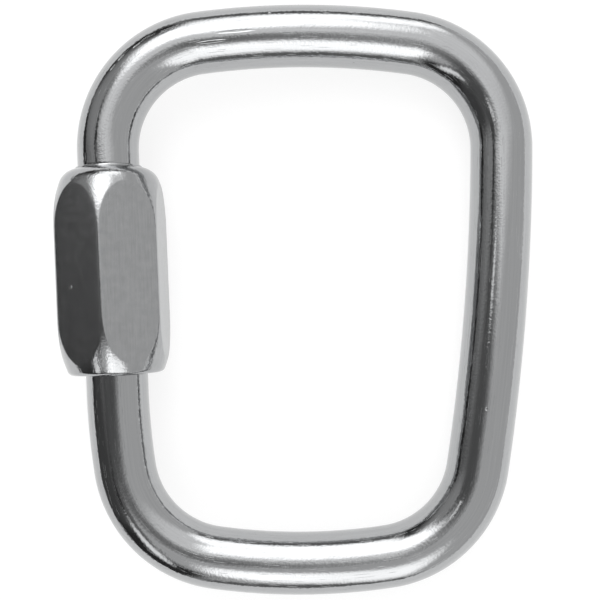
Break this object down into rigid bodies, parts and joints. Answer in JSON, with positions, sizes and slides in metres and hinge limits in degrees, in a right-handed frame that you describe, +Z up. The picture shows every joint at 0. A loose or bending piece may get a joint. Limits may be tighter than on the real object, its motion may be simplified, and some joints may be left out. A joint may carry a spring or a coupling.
{
  "type": "chain quick link",
  "caption": "Trapezoid quick link of bent round bar, whose gap is closed by a long hexagonal sleeve nut that screws along one leg.",
  "frame": {"origin": "on the floor, under the middle of the link's box", "axes": "+Y along the load axis towards the wide end, +X towards the plain leg, +Z up from the floor the link lies on"},
  "size_m": [0.0771, 0.0958, 0.019],
  "materials": {
    "bar_steel": "polished",
    "nut_steel": "satin flats, turned ends"
  },
  "bodies": {
    "bar": {"link_bar": "bar_steel"},
    "nut": {"sleeve_nut": "nut_steel"}
  },
  "joints": [
    {"name": "nut_travel", "type": "slide", "parent": "bar", "child": "nut", "axis": [0.0366, -0.9993, -0.0026], "range_m": [0, 0.0135]}
  ]
}
